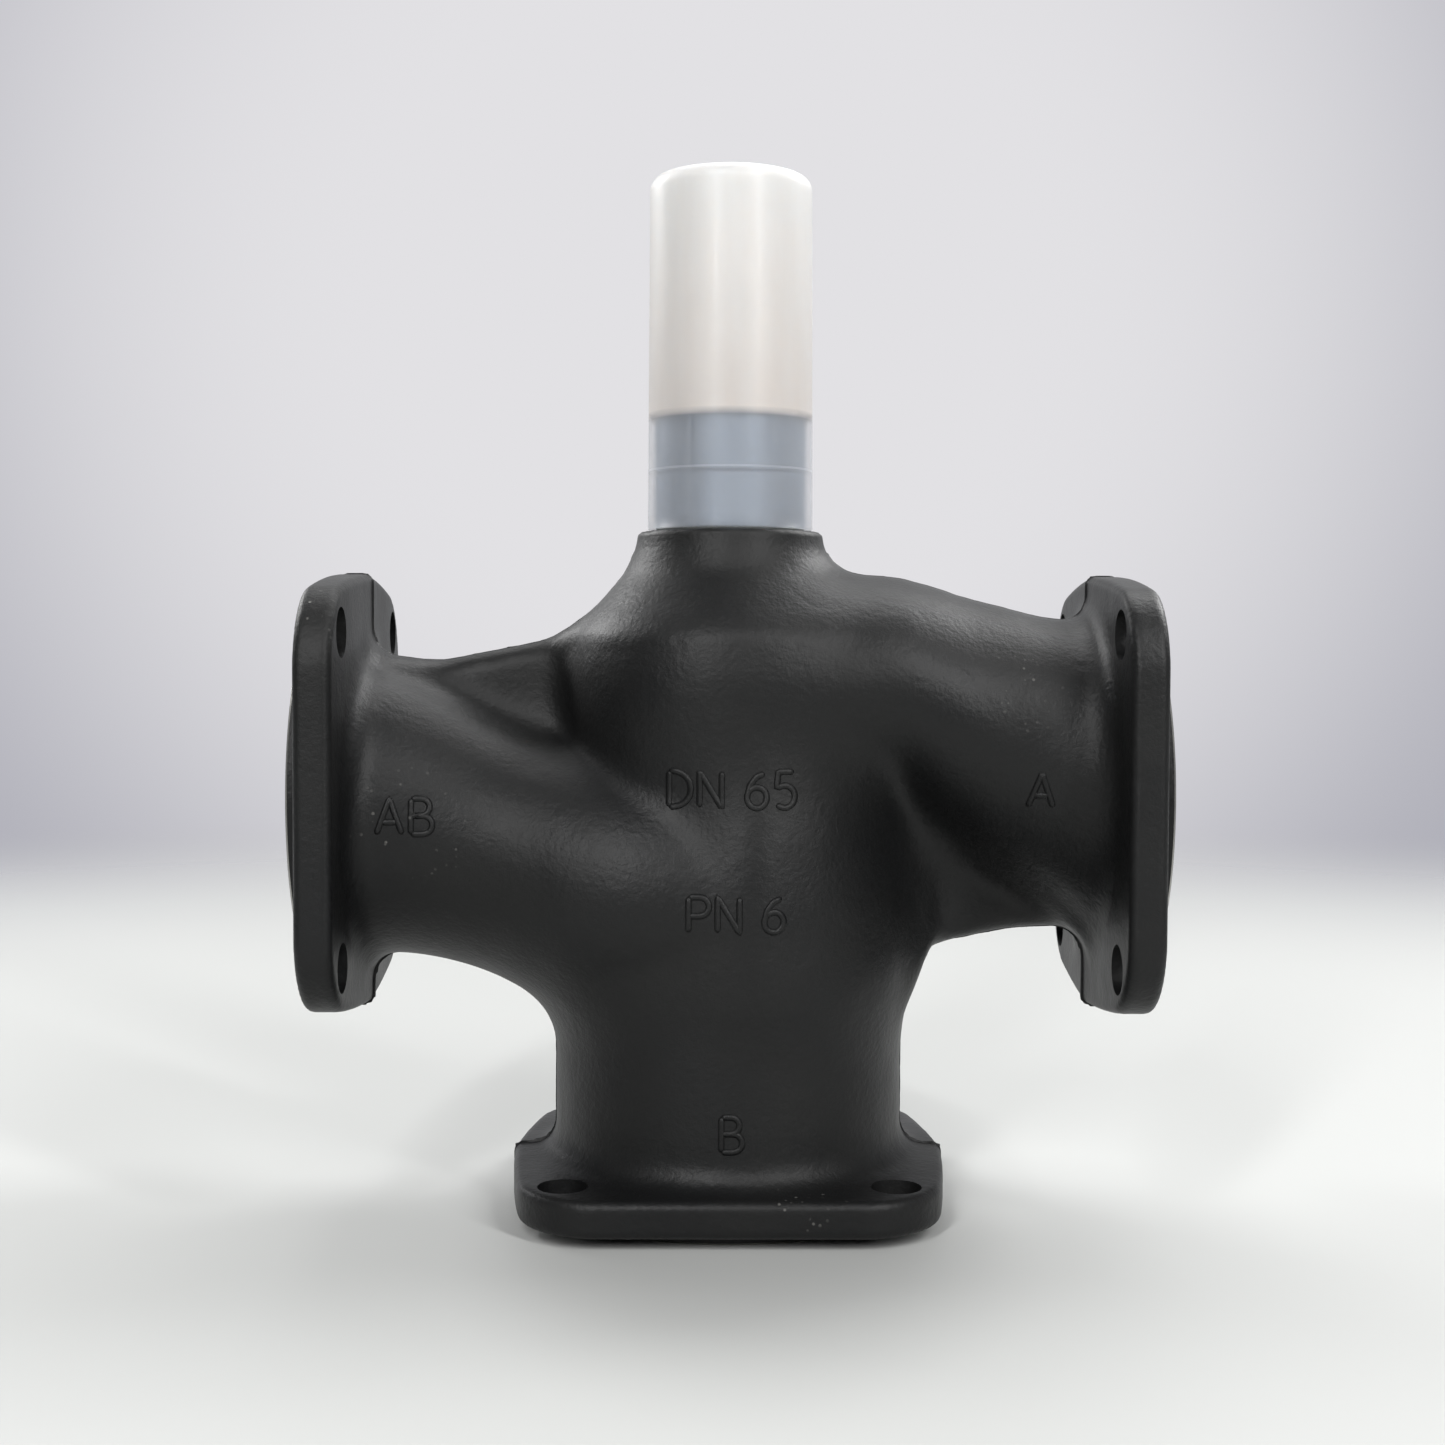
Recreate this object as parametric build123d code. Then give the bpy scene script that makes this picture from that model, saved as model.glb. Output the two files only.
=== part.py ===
from build123d import *
import os

# Three-port flanged mixing valve for heating water, DN 65, without its actuator.
# Ports AB (-X) and A (+X) lie on one pipe axis, port B points down, the stem leaves upwards.
# Millimetres. Origin: centre of the B port's sealing face. +Z: stem axis. +X: from AB to A.

os.makedirs("parts", exist_ok=True)

# ---------------------------------------------------------------- driving dimensions
# Ports and flanges (cast iron, DN 65, PN 6 drilling)
face_to_face = 240.0
axis_height = 120.0
port_bore = 65.0
flange_side = 125.0
flange_corner_radius = 20.0
flange_plate = 11.3
raised_face_diameter = 110.0
raised_face_height = 3.0
bolt_circle = 130.0
bolt_hole = 14.0
a_bolt_hole = 14.4
bolt_count = 4
flange_edge_round = 2.0

# Casting
wall = 6.5
ab_thin_wall = 5.3
ab_thick_wall = 15.5
a_thin_wall = 7.4
a_thick_wall = 17.9
mixing_chamber_radius = 44.25
upper_chamber_radius = 38.5
chamber_height = 50.0
web_thickness = 12.0
web_edge_rise = 8.0
limb_end = 10.0
neck_ledge = 5.25
neck_rise = 75.8
neck_straight = 6.0
neck_bore = 40.0
neck_thread_depth = 20.0

# Seats and plug
seat_bore = 58.0
seat_ring_height = 14.0
seat_ring_a_wall = 6.0
seat_ring_b_wall = 9.0
seat_a_above_axis = -8.0
seat_seal_radius = 1.3
seat_face_width = 2.0
seat_face_height = 1.5
stroke = 20.0
plug_height = 30.0
plug_rim = 1.0
plug_disc = 7.0
plug_hub_diameter = 30.0
skirt_length = 26.0
skirt_wall = 4.0
skirt_web = 4.0
skirt_windows = 4
window_width = 24.0
seal_inset = 0.5
seal_width = 3.5
seal_thickness = 3.0

# Stem
stem_diameter = 10.0
stem_tail_diameter = 8.0
stem_collar_diameter = 18.0
stem_collar_height = 5.0
stem_above_collar = 39.5
stem_groove_depth = 1.2
stem_groove_width = 4.0
stem_groove_below_top = 12.0
stem_point_chamfer = 1.0
tail_nut_across_flats = 13.0
tail_nut_height = 6.5
tail_washer_diameter = 17.0
tail_washer_thickness = 1.5
tail_end_beyond_nut = 3.0
pin_diameter = 2.0

# Bonnet, packing and packing nut
collar_diameter = 43.5
bonnet_collar_height = 15.7
packing_nut_height = 16.5
bonnet_gasket_thickness = 1.0
bonnet_nose_diameter = 30.0
bonnet_nose_length = 9.0
bonnet_top_thread = 32.0
packing_nut_web = 3.8
collar_chamfer = 0.6
packing_bore = 20.0
guide_bush_diameter = 16.0
guide_bush_length = 18.0
bush_stop = 2.0
spring_washer_thickness = 1.5
spring_length = 16.0
spring_wire = 1.8
spring_mean_diameter = 15.0
spring_turns = 5.0
packing_header_height = 3.0
packing_ring_height = 3.5
packing_ring_count = 3
packing_ring_vee = 1.4
gland_groove_width = 2.6
gland_groove_depth = 1.9
spanner_hole = 3.5
spanner_hole_depth = 5.0
wiper_width = 3.0
wiper_height = 2.0
nut_seal_section = 2.0

# Transport cap
cap_height = 103.0
cap_wall = 1.5
cap_side_taper = 0.5
cap_edge_radius = 4.5
cap_rib_count = 6
cap_rib_depth = 0.9
cap_rib_width = 1.6
cap_rib_length = 32.0
cap_above_neck = 0.5

# Clearances
running_clearance = 0.05
screw_clearance = 0.05
seat_gap = 0.3
passing_clearance = 1.0
stem_hole_clearance = 0.3

# ---------------------------------------------------------------- heights and radii that follow
port_radius = port_bore / 2
flange_back = face_to_face / 2 - flange_plate - raised_face_height
neck_top = axis_height + neck_rise
neck_radius = collar_diameter / 2 + neck_ledge

seat_a_bottom = axis_height + seat_a_above_axis
seat_a_top = seat_a_bottom + seat_ring_height
seat_a_radius = seat_bore / 2 + seat_ring_a_wall
seat_b_top = seat_a_bottom - plug_height - stroke - 2 * seat_gap
seat_b_bottom = seat_b_top - seat_ring_height
seat_b_radius = seat_bore / 2 + seat_ring_b_wall

upper_radius_outside = upper_chamber_radius + wall
mixing_radius_outside = mixing_chamber_radius + wall
chamber_roof = seat_a_top + chamber_height

seal_inner_radius = seat_bore / 2 + seal_inset
seal_outer_radius = seal_inner_radius + seal_width
plug_radius = seal_outer_radius + plug_rim
plug_bottom = seat_b_top + seat_gap
plug_top = plug_bottom + plug_height
skirt_radius = seat_bore / 2 - running_clearance
stem_collar_bottom = plug_top + skirt_web
tail_washer_top = plug_bottom - skirt_web
tail_nut_top = tail_washer_top - tail_washer_thickness
tail_nut_bottom = tail_nut_top - tail_nut_height
stem_bottom = tail_nut_bottom - tail_end_beyond_nut

bonnet_seat = neck_top + bonnet_gasket_thickness
bonnet_shoulder = bonnet_seat + bonnet_collar_height
collar_top = bonnet_shoulder + packing_nut_height
bonnet_bottom = neck_top - neck_thread_depth - bonnet_nose_length
bush_bottom = bonnet_bottom + bush_stop
packing_floor = bush_bottom + guide_bush_length
spring_bottom = packing_floor + spring_washer_thickness
spring_top = spring_bottom + spring_length
header_bottom = spring_top + spring_washer_thickness
rings_bottom = header_bottom + packing_header_height
gland_bottom = rings_bottom + packing_ring_count * packing_ring_height
packing_nut_ceiling = collar_top - packing_nut_web
stem_top = collar_top + stem_above_collar

cap_bottom = neck_top + cap_above_neck
cap_top = cap_bottom + cap_height
cap_rib_radius = collar_diameter / 2 + running_clearance
cap_bottom_radius = cap_rib_radius + cap_rib_depth + cap_wall
cap_top_radius = cap_bottom_radius - cap_side_taper
stem_radius = stem_diameter / 2
stem_fit_radius = stem_radius + running_clearance


# ---------------------------------------------------------------- shapes used by many pieces
def turned(*profile):
    """A solid turned about the stem axis from (radius, height) points."""
    outline = Polyline(*profile, close=True)
    return revolve(Plane.XZ * make_face(outline), Axis.Z)


def ring(outer_radius, inner_radius, bottom, top):
    """A plain ring or washer about the stem axis."""
    return turned(
        (inner_radius, bottom), (outer_radius, bottom), (outer_radius, top), (inner_radius, top)
    )


def torus_ring(mean_radius, section_radius, height):
    """An O-ring about the stem axis."""
    return Pos(0, 0, height) * Torus(mean_radius, section_radius)


def across_pipe(x, z):
    """A plane square to the pipe axis: its own x points along +Y and its own y along +Z."""
    return Plane(origin=(x, 0, z), x_dir=(0, 1, 0), z_dir=(1, 0, 0))


def limb(stations):
    """A smooth limb through (x, centre height, half width, half height) ovals, then straight in."""
    ovals = [across_pipe(x, z) * Ellipse(wide, high) for x, z, wide, high in stations]
    last_x = stations[-1][0]
    straight = extrude(ovals[-1], amount=limb_end - abs(last_x), dir=(abs(last_x) / last_x, 0, 0))
    return loft(ovals) + straight


# ---------------------------------------------------------------- valve body
def passage(side, chamber_x, chamber_z, chamber_wide, chamber_high, rise_power, grow=None):
    """Stations of a passage from its flange into the chamber, made larger by grow(share)."""
    stations = []
    for share in (0.25, 0.5, 0.75, 1.0):
        x = flange_back + (chamber_x - flange_back) * share
        z = axis_height + (chamber_z - axis_height) * share**rise_power
        wide = port_radius + (chamber_wide - port_radius) * share
        high = port_radius + (chamber_high - port_radius) * share**2
        extra = grow(share) if grow else 0.0
        stations.append((side * x, z, wide + extra, high + extra))
    return stations


mixing_height = seat_a_bottom - seat_b_top
ab_end = dict(
    side=-1,
    chamber_x=mixing_chamber_radius - 14.0,
    chamber_z=seat_b_top + mixing_height / 2 + 1.0,
    chamber_wide=mixing_chamber_radius - 4.0,
    chamber_high=mixing_height / 2 - 1.0,
    rise_power=1.0,
)
a_end = dict(
    side=1,
    chamber_x=upper_chamber_radius + 9.5,
    chamber_z=seat_a_top + chamber_height / 2,
    chamber_wide=upper_chamber_radius - 3.0,
    chamber_high=chamber_height / 2 - 0.5,
    rise_power=0.85,
)


def limb_solid(side, thin, thick, end, offset):
    """A limb's outside: round at the flange, with its thick wall below (AB) or above (A)."""
    mean = (thin + thick) / 2
    half = port_radius + mean
    first = (side * flange_back, axis_height + offset * (thick - thin) / 2, half, half)

    def thickness(share):
        return wall + (mean - wall) * (1 - share) ** 2

    return limb([first] + passage(grow=thickness, **end))


def limb_core(side, end):
    """A limb's passage: the round port bore, then the cored oval passage."""
    mouth = face_to_face / 2 + passing_clearance
    bore_length = mouth - flange_back
    bore = Pos(side * (flange_back + bore_length / 2), 0, axis_height) * (
        Rot(0, 90, 0) * Cylinder(port_radius, bore_length)
    )
    first = (side * flange_back, axis_height, port_radius, port_radius)
    return bore + limb([first] + passage(**end))


def flange():
    """A rounded-square flange plate with its raised face at z = 0 and the plate above it."""
    plate = Pos(0, 0, raised_face_height + flange_plate / 2) * Box(
        flange_side, flange_side, flange_plate
    )
    plate = fillet(plate.edges().filter_by(Axis.Z), flange_corner_radius)
    plate = fillet(plate.faces().sort_by(Axis.Z)[-1].edges(), flange_edge_round)
    face = Pos(0, 0, raised_face_height / 2) * Cylinder(
        raised_face_diameter / 2, raised_face_height
    )
    return plate + face


def bolt_holes(diameter):
    """Four bolt holes through a flange that stands on z = 0, between the main axes."""
    length = 2 * (flange_plate + raised_face_height)
    drill = Cylinder(diameter / 2, length)
    return [
        Rot(0, 0, 45 + 360 / bolt_count * n) * Pos(bolt_circle / 2, 0, length / 2) * drill
        for n in range(bolt_count)
    ]


def on_port(side, shape):
    """Turns a shape made on z = 0 so that it stands on the AB (-1) or A (+1) sealing face."""
    return Pos(side * face_to_face / 2, 0, axis_height) * (Rot(0, -90 * side, 0) * shape)


def webs():
    """Thin webs that close the notches above the AB limb and below the A limb."""
    upper_edge = axis_height + port_radius + ab_thin_wall
    lower_edge = axis_height - port_radius - a_thin_wall
    upper = Polyline(
        (-flange_back, axis_height),
        (-flange_back, upper_edge),
        (-upper_radius_outside, upper_edge + web_edge_rise),
        (0, upper_edge + web_edge_rise),
        (0, axis_height),
        close=True,
    )
    lower = Polyline(
        (flange_back, seat_a_top),
        (flange_back, lower_edge),
        (mixing_radius_outside + web_edge_rise, lower_edge - web_edge_rise),
        (mixing_radius_outside, lower_edge - 3 * web_edge_rise),
        (0, lower_edge - 3 * web_edge_rise),
        (0, seat_a_top),
        close=True,
    )
    outlines = [Plane.XZ * make_face(upper), Plane.XZ * make_face(lower)]
    return [extrude(outline, web_thickness / 2, both=True) for outline in outlines]


def valve_body():
    """The one-piece iron casting with its machined faces, seats' holes and neck thread bore."""
    flank_top = neck_top - neck_straight - 8.0
    tower = turned(
        (0, raised_face_height),
        (mixing_radius_outside, raised_face_height),
        (mixing_radius_outside, seat_a_bottom - 12.0),
        (upper_radius_outside, seat_a_bottom + wall),
        (upper_radius_outside, chamber_roof - 11.0),
        (neck_radius + 5.5, flank_top),
        (neck_radius, neck_top - neck_straight),
        (neck_radius, neck_top),
        (0, neck_top),
    )
    ab_limb = limb_solid(-1, ab_thin_wall, ab_thick_wall, ab_end, offset=-1)
    a_limb = limb_solid(1, a_thin_wall, a_thick_wall, a_end, offset=1)
    casting = tower + ab_limb + a_limb
    for web in webs():
        casting += web
    for side in (-1, 1):
        casting += on_port(side, flange())
    casting += flange()

    roof_radius = neck_bore / 2 + 5.0
    thread_bottom = neck_top - neck_thread_depth
    upper_core = turned(
        (0, seat_a_top),
        (upper_chamber_radius, seat_a_top),
        (upper_chamber_radius, chamber_roof - 14.0),
        (roof_radius, thread_bottom - 1.0),
        (0, thread_bottom - 1.0),
    )
    neck_core = Pos(0, 0, neck_top - neck_thread_depth) * Cylinder(
        neck_bore / 2,
        2 * neck_thread_depth + passing_clearance,
        align=(Align.CENTER, Align.CENTER, Align.CENTER),
    )
    mixing_core = turned(
        (0, seat_b_top),
        (mixing_chamber_radius, seat_b_top),
        (mixing_chamber_radius, seat_a_bottom - 8.0),
        (seat_a_radius + 2.0, seat_a_bottom),
        (0, seat_a_bottom),
    )
    lower_land = raised_face_height + flange_plate + 4.0
    lower_core = turned(
        (0, lower_land),
        (seat_b_radius + passing_clearance, lower_land),
        (mixing_chamber_radius - 1.0, lower_land + 4.0),
        (mixing_chamber_radius - 1.0, seat_b_bottom - 5.0),
        (seat_b_radius + passing_clearance, seat_b_bottom),
        (0, seat_b_bottom),
    )
    b_bore = Cylinder(
        seat_b_radius + passing_clearance,
        lower_land + passing_clearance,
        align=(Align.CENTER, Align.CENTER, Align.MIN),
    )
    b_bore = Pos(0, 0, -passing_clearance) * b_bore
    seat_b_hole = Pos(0, 0, (seat_b_bottom + seat_b_top) / 2) * Cylinder(
        seat_b_radius + screw_clearance, seat_ring_height + passing_clearance
    )
    seat_a_hole = Pos(0, 0, (seat_a_bottom + seat_a_top) / 2) * Cylinder(
        seat_a_radius + screw_clearance, seat_ring_height + passing_clearance
    )
    cores = [upper_core, neck_core, mixing_core, lower_core, b_bore, seat_b_hole, seat_a_hole]
    cores += [limb_core(-1, ab_end), limb_core(1, a_end)]
    for core in cores:
        casting -= core
    for hole in bolt_holes(bolt_hole):
        casting -= hole
        casting -= on_port(-1, hole)
    for hole in bolt_holes(a_bolt_hole):
        casting -= on_port(1, hole)
    return casting


# ---------------------------------------------------------------- seat rings and their seals
def seat_ring(radius, bottom, top, seat_up):
    """A bronze seat ring with a narrow raised seat on the side that meets the plug."""
    bore = seat_bore / 2
    land = bore + seat_face_width
    low = bottom if seat_up else bottom + seat_face_height
    high = top - seat_face_height if seat_up else top
    body = ring(radius, bore, low, high)
    lip = ring(land, bore, bottom, low) if not seat_up else ring(land, bore, high, top)
    groove_height = (bottom + top) / 2
    groove = ring(
        radius + passing_clearance,
        radius - 2 * seat_seal_radius,
        groove_height - seat_seal_radius,
        groove_height + seat_seal_radius,
    )
    return body + lip - groove


def seat_ring_seal(radius, bottom, top):
    """The O-ring in the groove round a seat ring."""
    return torus_ring(radius - seat_seal_radius, seat_seal_radius - screw_clearance, (bottom + top) / 2)


# ---------------------------------------------------------------- plug assembly
def valve_plug():
    """A turned spool: two sealing discs on one hub, bored for the stem's tail."""
    radius = plug_radius
    hub = plug_hub_diameter / 2
    bore = stem_tail_diameter / 2 + screw_clearance
    spool = turned(
        (bore, plug_bottom),
        (radius, plug_bottom),
        (radius, plug_bottom + plug_disc),
        (hub, plug_bottom + plug_disc + 3.0),
        (hub, plug_top - plug_disc - 3.0),
        (radius, plug_top - plug_disc),
        (radius, plug_top),
        (bore, plug_top),
    )
    inner, outer = seal_inner_radius, seal_outer_radius
    lower_groove = ring(outer, inner, plug_bottom, plug_bottom + seal_thickness)
    upper_groove = ring(outer, inner, plug_top - seal_thickness, plug_top)
    return spool - lower_groove - upper_groove


def plug_seal(bottom):
    """The flat sealing ring let into a disc of the plug."""
    inner = seal_inner_radius + screw_clearance
    outer = seal_outer_radius - screw_clearance
    return ring(outer, inner, bottom, bottom + seal_thickness)


def skirt(upwards):
    """A guiding skirt with V windows, clamped to the plug by its web."""
    bore = stem_tail_diameter / 2 + screw_clearance
    inside = skirt_radius - skirt_wall
    if upwards:
        base, tip, direction = plug_top, plug_top + skirt_length, 1
    else:
        base, tip, direction = plug_bottom, plug_bottom - skirt_length, -1
    shell = turned(
        (bore, base),
        (skirt_radius, base),
        (skirt_radius, tip),
        (inside, tip),
        (inside, base + direction * skirt_web),
        (bore, base + direction * skirt_web),
    )
    window = Polyline(
        (-window_width / 2, tip + direction * passing_clearance),
        (window_width / 2, tip + direction * passing_clearance),
        (0, base + direction * (skirt_web + 2.0)),
        close=True,
    )
    cutter = extrude(Plane.XZ * make_face(window), seat_bore)
    for n in range(skirt_windows):
        shell -= Rot(0, 0, 360 / skirt_windows * n) * cutter
    return shell


def plug_washer():
    bore = stem_tail_diameter / 2 + screw_clearance
    return ring(tail_washer_diameter / 2, bore, tail_nut_top, tail_washer_top)


def cross_hole(radius):
    """A hole through the tail nut and the stem's tail for the locking pin."""
    middle = (tail_nut_top + tail_nut_bottom) / 2
    return Pos(0, 0, middle) * (Rot(0, 90, 0) * Cylinder(radius, 2 * tail_nut_across_flats))


def plug_nut():
    """The hexagon nut that clamps the plug to the stem."""
    prism = extrude(
        Pos(0, 0, tail_nut_bottom) * RegularPolygon(tail_nut_across_flats / 2, 6, major_radius=False),
        tail_nut_height,
    )
    bore = Pos(0, 0, tail_nut_bottom + tail_nut_height / 2) * Cylinder(
        stem_tail_diameter / 2 + screw_clearance, 2 * tail_nut_height
    )
    return prism - bore - cross_hole(pin_diameter / 2 + screw_clearance)


def plug_pin():
    """The pin that locks the nut to the stem."""
    middle = (tail_nut_top + tail_nut_bottom) / 2
    length = tail_nut_across_flats + 2 * passing_clearance
    return Pos(0, 0, middle) * (Rot(0, 90, 0) * Cylinder(pin_diameter / 2, length))


def stem():
    """The ground stainless stem: tail, clamping collar, shaft and coupling groove."""
    tail = stem_tail_diameter / 2
    collar_radius = stem_collar_diameter / 2
    groove_top = stem_top - stem_groove_below_top
    shaft = turned(
        (0, stem_bottom),
        (tail - stem_point_chamfer, stem_bottom),
        (tail, stem_bottom + stem_point_chamfer),
        (tail, stem_collar_bottom),
        (collar_radius, stem_collar_bottom),
        (collar_radius, stem_collar_bottom + stem_collar_height),
        (stem_radius, stem_collar_bottom + stem_collar_height),
        (stem_radius, groove_top - stem_groove_width),
        (stem_radius - stem_groove_depth, groove_top - stem_groove_width),
        (stem_radius - stem_groove_depth, groove_top),
        (stem_radius, groove_top),
        (stem_radius, stem_top - stem_point_chamfer),
        (stem_radius - stem_point_chamfer, stem_top),
        (0, stem_top),
    )
    return shaft - cross_hole(pin_diameter / 2 + screw_clearance)


# ---------------------------------------------------------------- bonnet and packing
def bonnet():
    """The bonnet screwed into the neck: nose with guide bush, collar and top thread."""
    thread_bottom = neck_top - neck_thread_depth
    nose = bonnet_nose_diameter / 2
    screwed = neck_bore / 2 - screw_clearance
    collar = collar_diameter / 2
    spigot = bonnet_top_thread / 2
    spigot_top = packing_nut_ceiling - screw_clearance
    body = turned(
        (stem_radius + stem_hole_clearance, bonnet_bottom),
        (nose, bonnet_bottom),
        (nose, thread_bottom),
        (screwed, thread_bottom),
        (screwed, bonnet_seat),
        (collar, bonnet_seat),
        (collar, bonnet_shoulder - collar_chamfer),
        (collar - collar_chamfer, bonnet_shoulder),
        (spigot, bonnet_shoulder),
        (spigot, spigot_top),
        (packing_bore / 2, spigot_top),
        (packing_bore / 2, packing_floor),
        (guide_bush_diameter / 2, packing_floor),
        (guide_bush_diameter / 2, bush_bottom),
        (stem_radius + stem_hole_clearance, bush_bottom),
    )
    return body - nut_seal_groove()


def nut_seal_groove():
    """The groove round the foot of the bonnet's top thread."""
    spigot = bonnet_top_thread / 2
    return ring(
        spigot + passing_clearance,
        spigot - nut_seal_section,
        bonnet_shoulder,
        bonnet_shoulder + nut_seal_section + screw_clearance,
    )


def packing_nut():
    """The upper collar: a cap nut that closes the packing and carries the wiper."""
    collar = collar_diameter / 2
    thread = bonnet_top_thread / 2 + screw_clearance
    pocket = stem_radius + wiper_width
    body = turned(
        (thread, bonnet_shoulder),
        (collar - collar_chamfer, bonnet_shoulder),
        (collar, bonnet_shoulder + collar_chamfer),
        (collar, collar_top - collar_chamfer),
        (collar - collar_chamfer, collar_top),
        (pocket, collar_top),
        (pocket, collar_top - wiper_height),
        (stem_radius + stem_hole_clearance, collar_top - wiper_height),
        (stem_radius + stem_hole_clearance, packing_nut_ceiling),
        (thread, packing_nut_ceiling),
    )
    middle = (thread + collar) / 2
    for side in (-1, 1):
        body -= Pos(side * middle, 0, collar_top) * Cylinder(
            spanner_hole / 2, 2 * spanner_hole_depth
        )
    return body


def packing_nut_seal():
    spigot = bonnet_top_thread / 2
    section = nut_seal_section / 2
    return torus_ring(spigot - section, section - screw_clearance, bonnet_shoulder + section)


def packing_spring():
    """The coil spring that keeps the packing rings loaded, with closed ground ends."""
    height = spring_length - spring_wire
    pitch = height / spring_turns
    path = Pos(0, 0, spring_bottom + spring_wire / 2) * Helix(
        pitch, height, spring_mean_diameter / 2
    )
    start = Plane(origin=path @ 0, z_dir=path % 0)
    coil = sweep(start * Circle(spring_wire / 2 - screw_clearance), path=path)
    return coil


def packing_header():
    """The ring under the packing set, with a V-shaped top."""
    inner, outer = stem_fit_radius, packing_bore / 2 - screw_clearance
    middle = (inner + outer) / 2
    return turned(
        (inner, header_bottom),
        (outer, header_bottom),
        (outer, rings_bottom),
        (middle, rings_bottom + packing_ring_vee),
        (inner, rings_bottom),
    )


def packing_rings():
    """The set of V rings, each resting in the one below it."""
    inner, outer = stem_fit_radius, packing_bore / 2 - screw_clearance
    middle = (inner + outer) / 2
    rings = []
    for n in range(packing_ring_count):
        low = rings_bottom + n * packing_ring_height
        high = low + packing_ring_height - screw_clearance
        rings.append(
            turned(
                (inner, low),
                (middle, low + packing_ring_vee),
                (outer, low),
                (outer, high),
                (middle, high + packing_ring_vee),
                (inner, high),
            )
        )
    return Compound(children=rings)


def gland_follower():
    """The bush that the packing nut presses on the rings, grooved inside for an O-ring."""
    inner, outer = stem_fit_radius, packing_bore / 2 - screw_clearance
    middle = (inner + outer) / 2
    body = turned(
        (inner, gland_bottom),
        (middle, gland_bottom + packing_ring_vee),
        (outer, gland_bottom),
        (outer, packing_nut_ceiling - screw_clearance),
        (inner, packing_nut_ceiling - screw_clearance),
    )
    middle_height = (gland_bottom + packing_ring_vee + packing_nut_ceiling) / 2
    groove = ring(
        stem_radius + gland_groove_depth,
        inner - screw_clearance,
        middle_height - gland_groove_width / 2,
        middle_height + gland_groove_width / 2,
    )
    return body - groove


def stem_seal():
    """The O-ring inside the gland follower."""
    middle_height = (gland_bottom + packing_ring_vee + packing_nut_ceiling) / 2
    section = (gland_groove_depth - running_clearance) / 2 - screw_clearance / 2
    return torus_ring(stem_fit_radius + section, section, middle_height)


def wiper_ring():
    """The scraper in the top of the packing nut."""
    outer = stem_radius + wiper_width - screw_clearance
    low = collar_top - wiper_height + screw_clearance
    return turned(
        (stem_fit_radius, low),
        (outer, low),
        (outer, collar_top),
        (stem_fit_radius + 0.8, collar_top),
        (stem_fit_radius, collar_top - 0.8),
    )


# ---------------------------------------------------------------- transport cap
def transport_cap():
    """The moulded push-on cap, slightly tapered, with gripping ribs inside its mouth."""
    low, high = cap_bottom_radius, cap_top_radius
    outside = turned((0, cap_bottom), (low, cap_bottom), (high, cap_top), (0, cap_top))
    outside = fillet(outside.edges().sort_by(Axis.Z)[-1], cap_edge_radius)
    inside = turned(
        (0, cap_bottom - passing_clearance),
        (low - cap_wall, cap_bottom - passing_clearance),
        (high - cap_wall, cap_top - cap_wall),
        (0, cap_top - cap_wall),
    )
    inside = fillet(inside.edges().sort_by(Axis.Z)[-1], cap_edge_radius - cap_wall)
    shell = outside - inside
    rooted = cap_rib_depth + cap_wall / 2
    rib = Pos(cap_rib_radius + rooted / 2, 0, cap_bottom + cap_rib_length / 2) * Box(
        rooted, cap_rib_width, cap_rib_length
    )
    for n in range(cap_rib_count):
        shell += Rot(0, 0, 360 / cap_rib_count * n) * rib
    return shell


# ---------------------------------------------------------------- all nodes
nodes = {
    "valve_body": valve_body(),
    "seat_ring_a": seat_ring(seat_a_radius, seat_a_bottom, seat_a_top, seat_up=False),
    "seat_ring_a_seal": seat_ring_seal(seat_a_radius, seat_a_bottom, seat_a_top),
    "seat_ring_b": seat_ring(seat_b_radius, seat_b_bottom, seat_b_top, seat_up=True),
    "seat_ring_b_seal": seat_ring_seal(seat_b_radius, seat_b_bottom, seat_b_top),
    "stem": stem(),
    "valve_plug": valve_plug(),
    "plug_seal_a": plug_seal(plug_top - seal_thickness),
    "plug_seal_b": plug_seal(plug_bottom),
    "plug_skirt_a": skirt(upwards=True),
    "plug_skirt_b": skirt(upwards=False),
    "plug_washer": plug_washer(),
    "plug_nut": plug_nut(),
    "plug_pin": plug_pin(),
    "bonnet_gasket": ring(
        collar_diameter / 2, neck_bore / 2 + screw_clearance, neck_top, bonnet_seat
    ),
    "bonnet": bonnet(),
    "guide_bush": ring(
        guide_bush_diameter / 2 - screw_clearance, stem_fit_radius, bush_bottom, packing_floor
    ),
    "spring_seat_washer": ring(
        packing_bore / 2 - screw_clearance,
        stem_radius + stem_hole_clearance,
        packing_floor,
        spring_bottom,
    ),
    "packing_spring": packing_spring(),
    "spring_top_washer": ring(
        packing_bore / 2 - screw_clearance,
        stem_radius + stem_hole_clearance,
        spring_top,
        header_bottom,
    ),
    "packing_header": packing_header(),
    "packing_rings": packing_rings(),
    "gland_follower": gland_follower(),
    "stem_seal": stem_seal(),
    "packing_nut": packing_nut(),
    "packing_nut_seal": packing_nut_seal(),
    "wiper_ring": wiper_ring(),
    "transport_cap": transport_cap(),
}

for name, shape in nodes.items():
    export_step(shape, f"parts/{name}.step")
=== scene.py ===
import bpy
import numpy as np
from mathutils import Matrix, Vector


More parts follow.
